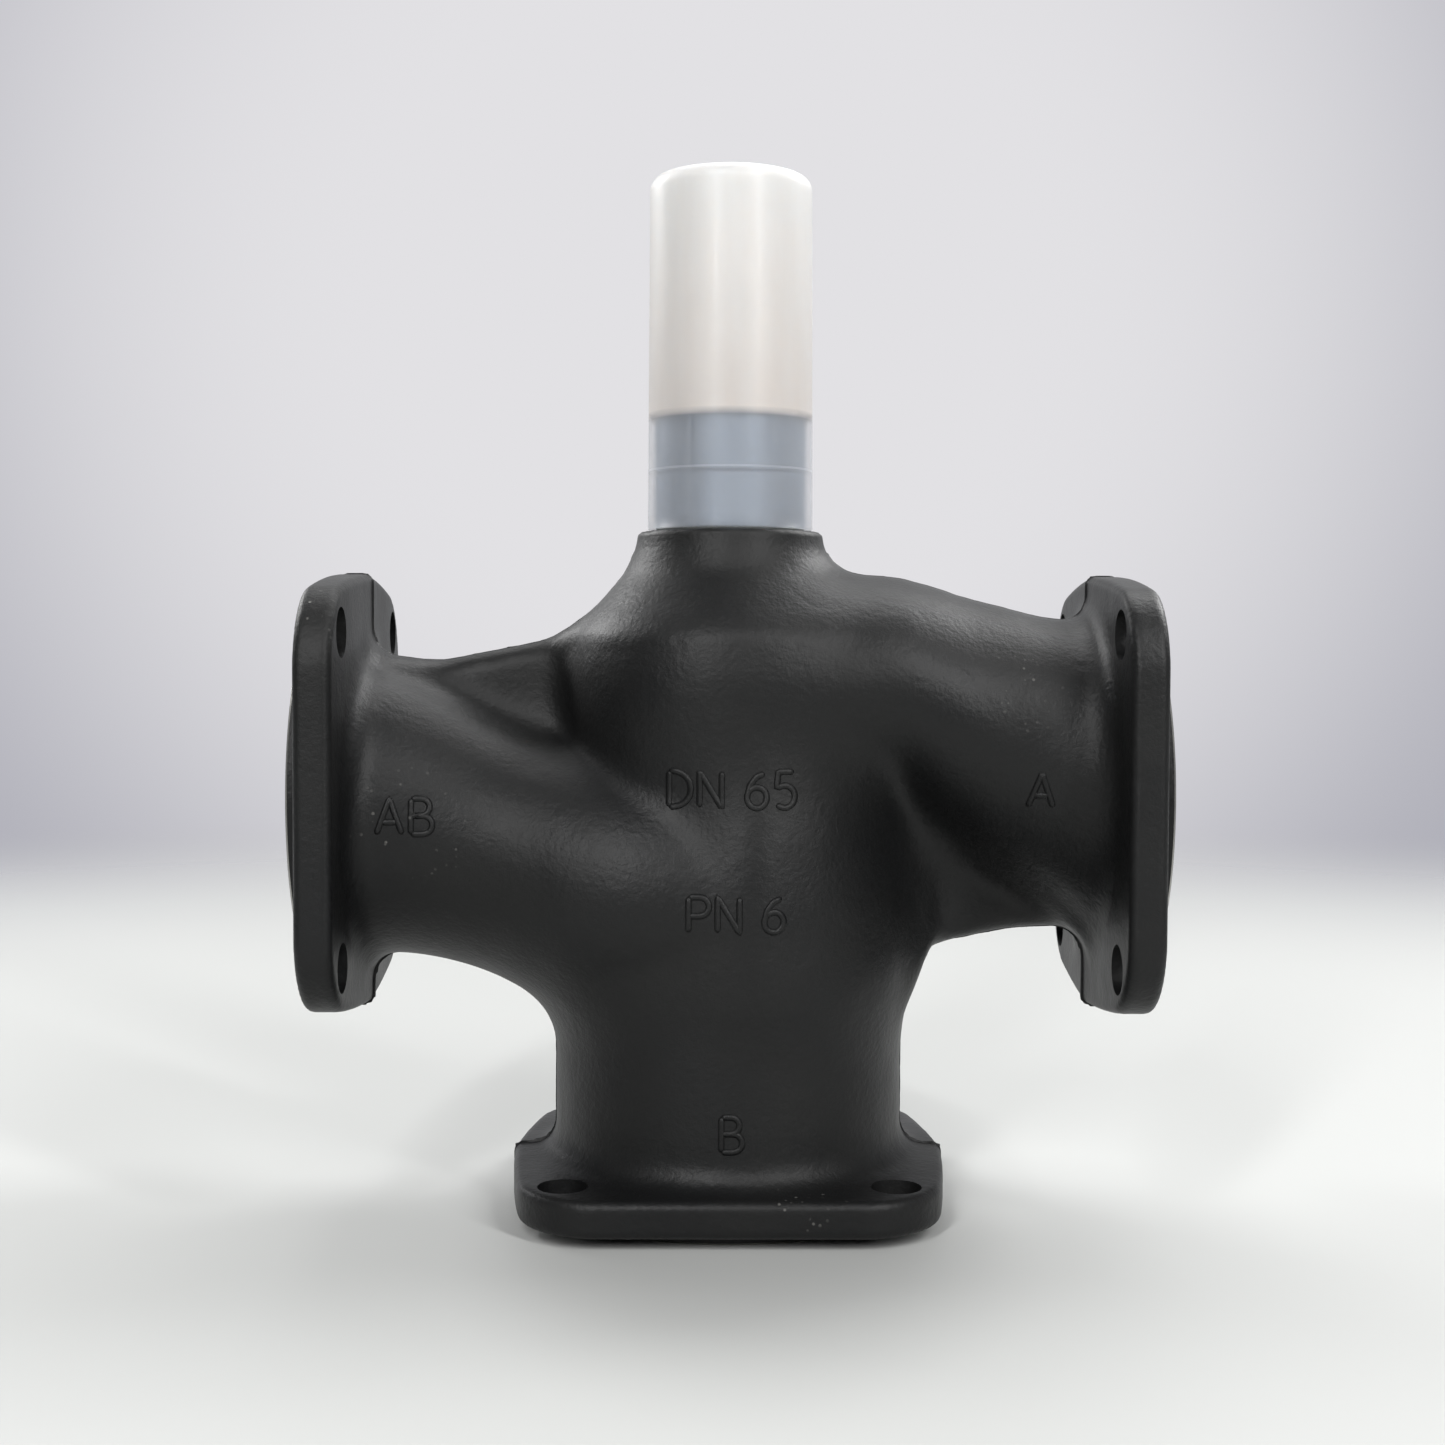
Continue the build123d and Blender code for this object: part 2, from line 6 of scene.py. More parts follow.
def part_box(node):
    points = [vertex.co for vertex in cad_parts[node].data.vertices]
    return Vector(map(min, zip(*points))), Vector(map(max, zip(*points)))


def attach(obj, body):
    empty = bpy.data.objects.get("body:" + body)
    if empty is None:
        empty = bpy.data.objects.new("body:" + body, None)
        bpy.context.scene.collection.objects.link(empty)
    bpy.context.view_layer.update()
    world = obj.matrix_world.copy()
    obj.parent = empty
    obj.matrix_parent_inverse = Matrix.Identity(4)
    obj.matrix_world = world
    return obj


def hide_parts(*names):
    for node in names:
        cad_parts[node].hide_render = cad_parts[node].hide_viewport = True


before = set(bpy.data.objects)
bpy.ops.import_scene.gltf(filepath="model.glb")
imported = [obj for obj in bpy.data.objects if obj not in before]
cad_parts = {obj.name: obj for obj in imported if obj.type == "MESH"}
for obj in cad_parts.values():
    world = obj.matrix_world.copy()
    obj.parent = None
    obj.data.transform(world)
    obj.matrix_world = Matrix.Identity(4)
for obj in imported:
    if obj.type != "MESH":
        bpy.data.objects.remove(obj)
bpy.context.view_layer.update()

# ---------------------------------------------------------------- valve body: the outside of the casting
# One grey-iron sand casting: a round tower on the B barrel, a dropped AB limb, a raised A limb, two webs
# and three square flanges, run together with soft fillets. Its two mould halves met on the plane y = 0,
# which leaves draft on both sides and a thin line of flash. Lengths in this section are millimetres.
MM = 0.001
axis_height = 120.0
port_reach = 120.0
neck_top = 195.8
flange_back = 14.3
flange_front = 3.0

# Height above the floor, then the tower's outside radius there.
tower_stations = [
    (-5, 50.7), (14, 50.7), (40, 50.7), (58, 50.3), (72, 48.5), (85, 46.4), (100, 45.4), (118, 45.1),
    (133, 45.0), (150, 45.0), (160, 44.9), (165.5, 44.3), (169.3, 41.8), (174, 37.9), (179, 34.1),
    (183.5, 31.0), (188, 28.9), (192, 27.6), (196, 27.0), (205, 27.0),
]
# Distance along the pipe axis, then the oval's centre height, half height and half width there.
ab_stations = [
    (-125, 115.0, 43.2, 43.0), (-106, 114.8, 43.0, 42.6), (-96, 113.6, 41.6, 41.3), (-82, 109.5, 39.5, 40.3),
    (-68, 103.8, 38.3, 41.4), (-57, 98.9, 39.0, 44.0), (-45, 94.8, 41.0, 48.0), (-32, 92.4, 43.0, 51.0),
    (-16, 90.6, 43.5, 52.2), (0, 88.0, 42.0, 51.4), (15, 86.0, 40.0, 48.5), (130, 86.0, 40.0, 48.5),
]
a_stations = [
    (-130, 150.8, 32.6, 45.0), (0, 150.8, 32.6, 45.0), (20, 150.8, 32.6, 44.6), (34, 151.0, 32.4, 43.6),
    (50, 150.2, 32.2, 42.0), (60, 145.2, 34.6, 41.0), (70, 140.0, 36.6, 40.2), (79, 136.0, 38.4, 40.0),
    (91, 130.8, 40.6, 41.4), (104, 125.6, 44.4, 44.6), (125, 124.6, 45.6, 45.6),
]
# Distance along the pipe axis, then the height of the web's free edge.
upper_web_stations = [
    (-125, 157.6), (-96, 157.8), (-84, 158.2), (-72, 160.4), (-59, 163.0), (-47, 165.5), (-30, 168.0)
]
lower_web_stations = [
    (30, 60.0), (52, 68.0), (58, 73.4), (65, 75.9), (73, 77.6), (80, 79.0), (94, 80.1), (125, 80.3)
]


def carried_through(at, stations):
    """Values carried smoothly through stations: cubic arcs, each slope that of the neighbours' chord."""
    table = np.asarray(stations, float)
    where, value = table[:, 0], table[:, 1:]
    slope = np.gradient(value, where, axis=0)
    left = np.clip(np.searchsorted(where, at) - 1, 0, len(where) - 2)
    span = (where[left + 1] - where[left])[..., None]
    share = np.clip((np.asarray(at, float) - where[left])[..., None] / span, 0, 1)
    return (
        value[left] * (1 + 2 * share) * (1 - share) ** 2
        + slope[left] * span * share * (1 - share) ** 2
        + value[left + 1] * share**2 * (3 - 2 * share)
        - slope[left + 1] * span * share**2 * (1 - share)
    )


def joined(a, b, fillet):
    """Two solids' distances joined: the smaller one, less a quarter of the fillet where they are equal."""
    overlap = np.maximum(fillet - np.abs(a - b), 0) / fillet
    return np.minimum(a, b) - overlap**2 * fillet / 4


def shared(a, b, round_off):
    """What two solids share, its edge rounded: the joined rule turned inside out."""
    return -joined(-a, -b, round_off)


def eased(value, start, end):
    """0 before start, 1 after end, and a smooth cubic step between."""
    share = np.clip((value - start) / (end - start), 0, 1)
    return share**2 * (3 - 2 * share)


def oval_limb(along, y, z, beyond, end_radius, stations):
    """A limb: root of summed squares of the oval's shares and of the rounded end's, less one,
    times its size."""
    centre, high, wide = np.moveaxis(carried_through(along, stations), -1, 0)
    size = np.sqrt((y / wide) ** 2 + ((z - centre) / high) ** 2 + (np.maximum(beyond, 0) / end_radius) ** 2)
    return (size - 1) * np.minimum(wide, high)


def flange_plate(from_face, across, up):
    """A square plate with bowed, drafted sides: rounded square in its plane, edges rounded both sides."""
    corner, edge, half_across, half_up = 20.0, 2.6, 61.7, 63.2
    bowed = np.abs(up) + 0.045 * np.abs(across) + 0.0014 * across**2
    qa, qu = np.abs(across) - half_across + corner, bowed - half_up + corner
    rim = np.hypot(np.maximum(qa, 0), np.maximum(qu, 0)) + np.minimum(np.maximum(qa, qu), 0) - corner
    back = flange_back + 0.5 - 0.022 * np.abs(across)
    thick = np.abs(from_face - (back + flange_front) / 2) - (back - flange_front) / 2
    qr, qt = rim + edge, thick + edge
    return np.hypot(np.maximum(qr, 0), np.maximum(qt, 0)) + np.minimum(np.maximum(qr, qt), 0) - edge


def casting_distance(x, y, z):
    """Millimetres from the casting's skin, below zero inside it."""
    radius = np.hypot(x, y)
    wall = carried_through(z, tower_stations)[..., 0]
    lean = carried_through(z + 0.5, tower_stations)[..., 0] - carried_through(z - 0.5, tower_stations)[..., 0]
    full_wall = 50.7 - 5.7 * eased(z, 104, 146)
    wall = wall + np.maximum(full_wall - wall, 0) * eased(x, -20, 12) * eased(z, 160, 145)
    tower = shared((radius - wall) / np.sqrt(1 + lean**2), z - neck_top, 1.6)
    ab_limb = oval_limb(x, y, z, x, 50.6, ab_stations)
    a_limb = oval_limb(x, y, z, -x, 45.0, a_stations)
    soft = 5.5 + 8 * eased(z, 85, 60) + 6 * eased(x, -14, 12)
    body = joined(tower, ab_limb, soft)
    body = joined(body, a_limb, 9 + 5 * eased(z, 150, 120))
    web_half = 6.0
    upper_top = carried_through(x, upper_web_stations)[..., 0]
    upper_web = shared(np.abs(y) - web_half - 0.05 * (upper_top - z), z - upper_top, 7.0)
    upper_web = shared(upper_web, x + 20, 3.0)
    upper_web = shared(upper_web, 100 - z, 3.0)
    lower_top = carried_through(x, lower_web_stations)[..., 0]
    thicker = 2.0 * eased(x, 88, 56)
    lower_web = shared(np.abs(y) - web_half - thicker - 0.05 * (z - lower_top), lower_top - z, 7.0)
    lower_web = shared(lower_web, 20 - x, 3.0)
    lower_web = shared(lower_web, z - 130, 3.0)
    body = joined(body, upper_web, 9.0)
    body = joined(body, lower_web, 7.5 + 8.5 * eased(np.abs(y), 3, 13))
    body = shared(body, np.abs(x) - (port_reach - 6), 1.0)
    body = shared(body, 6 - z, 1.0)
    for from_face, up in ((port_reach + x, z - axis_height), (port_reach - x, z - axis_height), (z, x)):
        body = joined(body, flange_plate(from_face, y, up), 9.0)
    on_flange = np.maximum(eased(np.abs(x), 101, 105), eased(z, 19, 15))
    underneath = eased(z, 100, 80)
    ragged = 0.3 + 0.35 * on_flange + 0.25 * underneath
    ragged = ragged + 0.15 * np.sin(0.9 * x + 1.7 * np.sin(0.31 * z)) * np.sin(0.8 * z + 0.6)
    flash = shared(body - ragged, np.abs(y) - 0.35, 0.5)
    flash = np.maximum(flash, np.maximum(np.abs(x) - 113, 7 - z))
    flash = np.maximum(flash, z - 190)
    return joined(body, flash, 0.5)


def planes(stops):
    """Grid planes between stops, each stretch divided evenly into steps close to its own size."""
    made = [np.linspace(a, b, max(int(round((b - a) / step)), 1), endpoint=False) for a, b, step in stops]
    return np.concatenate(made + [[stops[-1][1]]])


def skin_of(field, xs, ys, zs):
    """The surface where a field is zero: one point in each grid cell that it crosses, the mean of its edge
    crossings, four points round each crossed grid edge making a face, then each point slid down the
    field's slope until the field is zero there."""
    half = field(xs[:, None, None], ys[None, :, None], zs[None, None, :])
    value = np.concatenate([half[:, :0:-1], half], axis=1)
    ys = np.concatenate([-ys[:0:-1], ys])
    inside = value < 0
    grid = (xs, ys, zs)
    cells = tuple(n - 1 for n in value.shape)
    total = np.zeros(cells + (3,))
    count = np.zeros(cells)
    crossed = []
    for axis in range(3):
        low = [slice(None)] * 3
        high = [slice(None)] * 3
        low[axis], high[axis] = slice(None, -1), slice(1, None)
        low, high = tuple(low), tuple(high)
        cut = inside[low] != inside[high]
        at = np.argwhere(cut)
        a, b = value[low][cut], value[high][cut]
        share = a / (a - b)
        point = np.stack([grid[k][at[:, k]] for k in range(3)], 1)
        step = grid[axis][at[:, axis] + 1] - grid[axis][at[:, axis]]
        point[:, axis] += share * step
        crossed.append((at, inside[low][cut]))
        others = [k for k in range(3) if k != axis]
        for da in (0, 1):
            for db in (0, 1):
                cell = at.copy()
                cell[:, others[0]] -= da
                cell[:, others[1]] -= db
                np.add.at(total, tuple(cell.T), point)
                np.add.at(count, tuple(cell.T), 1)
    number = np.full(cells, -1)
    used = count > 0
    number[used] = np.arange(used.sum())
    points = total[used] / count[used][:, None]
    faces = []
    for axis, (at, start_inside) in enumerate(crossed):
        first, second = [(1, 2), (2, 0), (0, 1)][axis]
        ring = []
        for da, db in ((1, 1), (0, 1), (0, 0), (1, 0)):
            cell = at.copy()
            cell[:, first] -= da
            cell[:, second] -= db
            ring.append(number[tuple(cell.T)])
        quad = np.stack(ring, 1)
        quad[~start_inside] = quad[~start_inside][:, ::-1]
        faces.append(quad)
    step = 0.05
    for _ in range(4):
        x, y, z = points.T
        here = field(x, np.abs(y), z)
        slope = np.stack(
            [
                field(x + step, np.abs(y), z) - field(x - step, np.abs(y), z),
                (field(x, np.abs(y + step), z) - field(x, np.abs(y - step), z)),
                field(x, np.abs(y), z + step) - field(x, np.abs(y), z - step),
            ],
            1,
        ) / (2 * step)
        move = -here[:, None] * slope / np.maximum((slope**2).sum(1), 0.2)[:, None]
        points += np.clip(move, -0.7, 0.7)
    return points, np.concatenate(faces)


def mesh_object(name, points, faces):
    """A mesh object at the origin from points in metres and faces of equal length."""
    mesh = bpy.data.meshes.new(name)
    faces = np.asarray(faces)
    mesh.vertices.add(len(points))
    mesh.vertices.foreach_set("co", np.asarray(points, np.float32).ravel())
    mesh.loops.add(faces.size)
    mesh.loops.foreach_set("vertex_index", faces.astype(np.int32).ravel())
    mesh.polygons.add(len(faces))
    mesh.polygons.foreach_set("loop_start", np.arange(0, faces.size, faces.shape[1], dtype=np.int32))
    mesh.polygons.foreach_set("use_smooth", np.ones(len(faces), bool))
    mesh.update(calc_edges=True)
    mesh.validate()
    made = bpy.data.objects.new(name, mesh)
    bpy.context.scene.collection.objects.link(made)
    return made


x_planes = planes(
    [
        (-122, -113, 0.9),
        (-113, -103, 0.9),
        (-103, -97, 1.5),
        (-97, 97, 2.0),
        (97, 103, 1.5),
        (103, 113, 0.9),
        (113, 122, 0.9),
    ]
)
y_planes = planes([(0, 0.9, 0.45), (0.9, 2.1, 0.6), (2.1, 57, 2.0), (57, 64.2, 0.9)])
z_planes = planes(
    [
        (1, 16, 0.9),
        (16, 22, 1.5),
        (22, 55, 2.0),
        (55, 64, 0.9),
        (64, 176, 2.0),
        (176, 185, 0.9),
        (185, 193, 1.6),
        (193, 198, 0.7),
    ]
)
skin_points, skin_faces = skin_of(casting_distance, x_planes, y_planes, z_planes)
valve_casting = mesh_object("valve_casting", skin_points * MM, skin_faces)


def tube_faces(rings, around):
    """Faces of a closed tube: quads between neighbouring rings of points, then at each end a fan to a
    middle point. The two middle points come after the last ring's."""
    row = np.arange(rings - 1)[:, None] * around
    here, nxt = np.arange(around), (np.arange(around) + 1) % around
    quads = np.stack([row + here, row + nxt, row + around + nxt, row + around + here], -1).reshape(-1, 4)
    middle, last = rings * around, (rings - 1) * around
    first_fan = np.stack([np.full(around, middle), nxt, here], 1)
    last_fan = np.stack([np.full(around, middle + 1), last + here, last + nxt], 1)
    return quads, first_fan, last_fan


# Machining and cores: turned raised faces, the cored passages, the turned seat holes and neck bore, and
# the drilled bolt holes. Each is a closed tool shape that is added to the casting or taken from it.
def turned_shape(name, profile, around, centre=(0, 0, 0), direction="z"):
    """A closed turned solid: the profile's (radius, height) points carried round an axis."""
    profile = np.asarray(profile, float)
    angle = np.arange(around) * 2 * np.pi / around
    radius, height = profile[:, 0][:, None], profile[:, 1][:, None]
    ring = np.stack(
        [radius * np.cos(angle), radius * np.sin(angle), np.broadcast_to(height, (len(profile), around))], -1
    )
    points = ring.reshape(-1, 3)
    if direction == "x":
        points = points[:, [2, 0, 1]]
    points = points + np.asarray(centre, float)
    points = np.vstack([points, points[:around].mean(0), points[-around:].mean(0)])
    quads, first_fan, last_fan = tube_faces(len(profile), around)
    mesh = bpy.data.meshes.new(name)
    mesh.from_pydata((points * MM).tolist(), [], quads.tolist() + first_fan.tolist() + last_fan.tolist())
    mesh.polygons.foreach_set("use_smooth", np.ones(len(mesh.polygons), bool))
    made = bpy.data.objects.new(name, mesh)
    bpy.context.scene.collection.objects.link(made)
    return made


def lofted_core(name, side, end_x, end_z, end_wide, end_high, rise_power):
    """A cored passage: the round port bore carried along the pipe axis while it turns into an oval."""
    bore, back, around = 32.5, port_reach - flange_back, 96
    share = np.concatenate([[0, 0], np.linspace(0, 1, 17)[1:], [1]])
    x = back + (end_x - back) * share
    x[0], x[-1] = port_reach + 2, 8.0
    z = axis_height + (end_z - axis_height) * share**rise_power
    wide = bore + (end_wide - bore) * share
    high = bore + (end_high - bore) * share**2
    angle = np.arange(around) * 2 * np.pi / around
    rings = np.stack(
        [
            np.broadcast_to(side * x[:, None], (len(x), around)),
            wide[:, None] * np.cos(angle),
            z[:, None] + high[:, None] * np.sin(angle),
        ],
        -1,
    )
    points = np.vstack([rings.reshape(-1, 3), rings[0].mean(0), rings[-1].mean(0)])
    faces = tube_faces(len(x), around)
    if side > 0:
        faces = [face[:, ::-1] for face in faces]
    mesh = bpy.data.meshes.new(name)
    mesh.from_pydata((points * MM).tolist(), [], [corners for face in faces for corners in face.tolist()])
    made = bpy.data.objects.new(name, mesh)
    bpy.context.scene.collection.objects.link(made)
    return made


def worked(piece, tool, operation):
    """Adds a tool shape to a piece, or takes it away, and removes the tool."""
    change = piece.modifiers.new("work", "BOOLEAN")
    change.object = tool
    change.operation = operation
    change.solver = "MANIFOLD"
    bpy.context.view_layer.update()
    dense = piece.evaluated_get(bpy.context.evaluated_depsgraph_get())
    result = bpy.data.meshes.new_from_object(dense)
    piece.modifiers.clear()
    old, piece.data = piece.data, result
    bpy.data.meshes.remove(old)
    bpy.data.objects.remove(tool)


raised_face_radius, face_chamfer = 55.0, 0.6
port_faces = (((0, 0, 0), "z"), ((-port_reach, 0, axis_height), "x"), ((port_reach, 0, axis_height), "x"))
for place, direction in port_faces:
    profile = [
        (raised_face_radius - face_chamfer, 0.0),
        (raised_face_radius, face_chamfer),
        (raised_face_radius, 8.0),
    ]
    if place[0] > 0:
        profile = [(radius, -depth) for radius, depth in profile[::-1]]
    worked(valve_casting, turned_shape("raised_face", profile, 128, place, direction), "UNION")
centre_core = [
    (39.5, -2), (39.0, 0.5), (39.0, 18.3), (43.2, 22.3), (43.2, 42.4), (38.05, 47.4), (38.05, 61.4),
    (44.25, 61.4), (44.25, 104.0), (37.0, 112.0), (35.05, 112.0), (35.05, 126.0), (38.5, 126.0),
    (38.5, 162.0), (25.0, 174.8), (20.0, 174.8), (20.0, 194.8), (21.2, 196.4),
]
worked(valve_casting, turned_shape("centre_core", centre_core, 128), "DIFFERENCE")
worked(valve_casting, lofted_core("ab_core", -1, 30.25, 87.7, 40.25, 24.3, 1.0), "DIFFERENCE")
worked(valve_casting, lofted_core("a_core", 1, 48.0, 151.0, 35.5, 24.5, 0.85), "DIFFERENCE")
bolt_circle_radius, bolt_hole_radius = 65.0, 7.0
for place, direction in port_faces:
    for quarter in range(4):
        turn = np.radians(45 + 90 * quarter)
        off = bolt_circle_radius * np.array([np.cos(turn), np.sin(turn)])
        if direction == "z":
            centre = (off[0], off[1], -1)
            span = [(bolt_hole_radius, 0.0), (bolt_hole_radius, 20.0)]
        else:
            centre = (place[0] - np.sign(place[0]) * 9, off[0], axis_height + off[1])
            span = [(bolt_hole_radius, -12.0), (bolt_hole_radius, 12.0)]
        worked(valve_casting, turned_shape("bolt_hole", span, 48, centre, direction), "DIFFERENCE")
valve_casting.data.set_sharp_from_angle(angle=np.radians(32))


def colour(code):
    """An sRGB hex colour as linear red, green, blue and full opacity."""
    part = np.array([int(code[i : i + 2], 16) for i in (1, 3, 5)]) / 255
    linear = np.where(part <= 0.04045, part / 12.92, ((part + 0.055) / 1.055) ** 2.4)
    return (*linear.tolist(), 1.0)


def add_node(tree, kind, inputs=(), **settings):
    """Adds one node to a tree: settings are its properties, and inputs are its sockets' values or links."""
    made = tree.nodes.new(kind)
    for name, value in settings.items():
        setattr(made, name, value)
    for name, value in dict(inputs).items():
        if isinstance(value, bpy.types.NodeSocket):
            tree.links.new(value, made.inputs[name])
        else:
            made.inputs[name].default_value = value
    return made


def new_material(name):
    """An empty node material: its tree, its Principled shader and its object coordinates."""
    made = bpy.data.materials.new(name)
    made.use_nodes = True
    tree = made.node_tree
    shader = tree.nodes["Principled BSDF"]
    place = tree.nodes.new("ShaderNodeTexCoord").outputs["Object"]
    return made, tree, shader, place


# Black machine paint sprayed thinly over sand-cast iron: satin, with the sand's grain showing through,
# slow changes of gloss where it went on thicker, and small chips to bare iron where it was knocked.
black_paint, tree, shader, place = new_material("black_paint_on_cast_iron")
grain = add_node(
    tree, "ShaderNodeTexNoise", {"Vector": place, "Scale": 1 / (1.6 * MM), "Detail": 4.0, "Roughness": 0.62}
)
swell = add_node(tree, "ShaderNodeTexNoise", {"Vector": place, "Scale": 1 / (8 * MM), "Detail": 2.0})
cloud = add_node(tree, "ShaderNodeTexNoise", {"Vector": place, "Scale": 1 / (38 * MM), "Detail": 3.0})
tint = add_node(
    tree,
    "ShaderNodeMix",
    {0: cloud.outputs["Fac"], 6: colour("#0c0d0f"), 7: colour("#171716")},
    data_type="RGBA",
)
speck = add_node(tree, "ShaderNodeTexVoronoi", {"Vector": place, "Scale": 1 / (2.3 * MM), "Randomness": 1.0})
chip_size = add_node(
    tree, "ShaderNodeMapRange", {"Value": speck.outputs["Distance"], "From Min": 0.24, "From Max": 0.14}
)
patchy = add_node(tree, "ShaderNodeTexNoise", {"Vector": place, "Scale": 1 / (6 * MM), "Detail": 2.0})
patches = add_node(
    tree, "ShaderNodeMapRange", {"Value": patchy.outputs["Fac"], "From Min": 0.50, "From Max": 0.60}
)
chips = add_node(
    tree,
    "ShaderNodeMath",
    {0: chip_size.outputs["Result"], 1: patches.outputs["Result"]},
    operation="MULTIPLY",
)
knocked = None
for spot, reach in (
    ((-0.088, -0.040, 0.112), 0.019), ((-0.117, -0.052, 0.172), 0.016), ((0.081, -0.030, 0.148), 0.015),
    ((-0.092, 0.041, 0.100), 0.018), ((0.118, 0.050, 0.170), 0.016), ((0.020, -0.058, 0.014), 0.014),
):
    gap = add_node(tree, "ShaderNodeVectorMath", {0: place, 1: spot}, operation="DISTANCE")
    near = add_node(
        tree,
        "ShaderNodeMapRange",
        {"Value": gap.outputs["Value"], "From Min": reach, "From Max": reach * 0.3},
    )
    if knocked is None:
        knocked = near.outputs["Result"]
    else:
        knocked = add_node(
            tree, "ShaderNodeMath", {0: knocked, 1: near.outputs["Result"]}, operation="MAXIMUM"
        ).outputs[0]
worn = add_node(tree, "ShaderNodeMath", {0: chips.outputs[0], 1: knocked}, operation="MULTIPLY")
bare = add_node(
    tree, "ShaderNodeMix", {0: worn.outputs[0], 6: tint.outputs[2], 7: colour("#605f5c")}, data_type="RGBA"
)
tree.links.new(bare.outputs[2], shader.inputs["Base Color"])
gloss = add_node(
    tree,
    "ShaderNodeMapRange",
    {"Value": cloud.outputs["Fac"], "From Min": 0.3, "From Max": 0.7, "To Min": 0.42, "To Max": 0.52},
)
tree.links.new(gloss.outputs["Result"], shader.inputs["Roughness"])
fine = add_node(
    tree, "ShaderNodeBump", {"Height": grain.outputs["Fac"], "Strength": 0.9, "Distance": 0.22 * MM}
)
coarse = add_node(
    tree,
    "ShaderNodeBump",
    {
        "Height": swell.outputs["Fac"],
        "Normal": fine.outputs["Normal"],
        "Strength": 0.45,
        "Distance": 0.6 * MM,
    },
)
chipped = add_node(
    tree,
    "ShaderNodeBump",
    {"Height": worn.outputs[0], "Normal": coarse.outputs["Normal"], "Strength": 0.6, "Distance": -0.15 * MM},
)
tree.links.new(chipped.outputs["Normal"], shader.inputs["Normal"])
shader.inputs["Specular IOR Level"].default_value = 0.30

# Bare grey iron, turned on a lathe: bright, with the tool's fine concentric grooves for the gasket to bite.
turned_iron = []
for name, direction, centre in (
    ("turned_iron_side_ports", "X", (0, 0, -0.12)),
    ("turned_iron_bottom_port", "Z", (0, 0, 0)),
):
    made, tree, shader, place = new_material(name)
    shader.inputs["Metallic"].default_value = 1.0
    centred = add_node(tree, "ShaderNodeMapping", {"Vector": place, "Location": centre})
    grooves = add_node(
        tree, "ShaderNodeTexWave", {
            "Vector": centred.outputs[0], "Scale": 0.314 / (0.8 * MM), "Distortion": 0.0
        },
        wave_type="RINGS", rings_direction=direction,
    )
    blotch = add_node(tree, "ShaderNodeTexNoise", {"Vector": place, "Scale": 1 / (9 * MM), "Detail": 5.0})
    tone = add_node(
        tree,
        "ShaderNodeMix",
        {0: blotch.outputs["Fac"], 6: colour("#7f7f7d"), 7: colour("#a3a19c")},
        data_type="RGBA",
    )
    tree.links.new(tone.outputs[2], shader.inputs["Base Color"])
    dull = add_node(
        tree, "ShaderNodeMapRange", {"Value": blotch.outputs["Fac"], "To Min": 0.28, "To Max": 0.46}
    )
    tree.links.new(dull.outputs["Result"], shader.inputs["Roughness"])
    cut = add_node(
        tree, "ShaderNodeBump", {"Height": grooves.outputs["Fac"], "Strength": 0.5, "Distance": 0.1 * MM}
    )
    tree.links.new(cut.outputs["Normal"], shader.inputs["Normal"])
    turned_iron.append(made)

# The cored inside as it left the foundry: unpainted iron skin, dark grey-brown and rough.
core_skin, tree, shader, place = new_material("raw_cast_iron_skin")
sand = add_node(tree, "ShaderNodeTexNoise", {"Vector": place, "Scale": 1 / (1.4 * MM), "Detail": 5.0})
stain = add_node(tree, "ShaderNodeTexNoise", {"Vector": place, "Scale": 1 / (14 * MM), "Detail": 4.0})
tone = add_node(
    tree,
    "ShaderNodeMix",
    {0: stain.outputs["Fac"], 6: colour("#33302d"), 7: colour("#524a43")},
    data_type="RGBA",
)
tree.links.new(tone.outputs[2], shader.inputs["Base Color"])
shader.inputs["Roughness"].default_value = 0.72
rough = add_node(
    tree, "ShaderNodeBump", {"Height": sand.outputs["Fac"], "Strength": 0.7, "Distance": 0.3 * MM}
)
tree.links.new(rough.outputs["Normal"], shader.inputs["Normal"])

# Which finish each face has: lathe-turned on the raised faces and in the neck's bore, raw skin wherever a
# face lies under the casting's outside, and paint on the rest, the rims and the walls of the bolt holes.
body = valve_casting.data
body.materials.clear()
painted, turned_side, turned_bottom, raw_skin = range(4)
for finish in (black_paint, turned_iron[0], turned_iron[1], core_skin):
    body.materials.append(finish)
centre = np.zeros(len(body.polygons) * 3)
body.polygons.foreach_get("center", centre)
x, y, z = (centre.reshape(-1, 3) / MM).T
off_port_axis = np.hypot(y, z - axis_height)
off_stem_axis = np.hypot(x, y)
finish_number = np.where(casting_distance(x, np.abs(y), z) < -1.0, raw_skin, painted)
hole_offset = bolt_circle_radius * np.sin(np.pi / 4)
for across in (-hole_offset, hole_offset):
    for up in (-hole_offset, hole_offset):
        in_side_hole = np.hypot(y - across, z - axis_height - up) < bolt_hole_radius + 0.3
        in_bottom_hole = np.hypot(x - across, y - up) < bolt_hole_radius + 0.3
        finish_number[(np.abs(x) > 100) & in_side_hole] = painted
        finish_number[(z < 18) & in_bottom_hole] = painted
finish_number[(z > 174) & (off_stem_axis < 22)] = turned_bottom
finish_number[(np.abs(x) > port_reach - 0.8) & (off_port_axis < raised_face_radius + 0.2)] = turned_side
finish_number[(z < 0.8) & (off_stem_axis < raised_face_radius + 0.2)] = turned_bottom
side_rim = (np.abs(x) > 116) & (off_port_axis > raised_face_radius - 0.3)
bottom_rim = (z < 3.5) & (off_stem_axis > raised_face_radius - 0.3)
finish_number[(side_rim | bottom_rim) & (finish_number == raw_skin)] = painted
body.polygons.foreach_set("material_index", finish_number.astype(np.int32))
body.update()
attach(valve_casting, "housing")
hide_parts("valve_body")

# ---------------------------------------------------------------- cast-on marks
# Port letters, nominal size and pressure class, cast in one with the body and painted over: low rounded
# ridges, worn soft by the sand, that stand less than a millimetre proud.

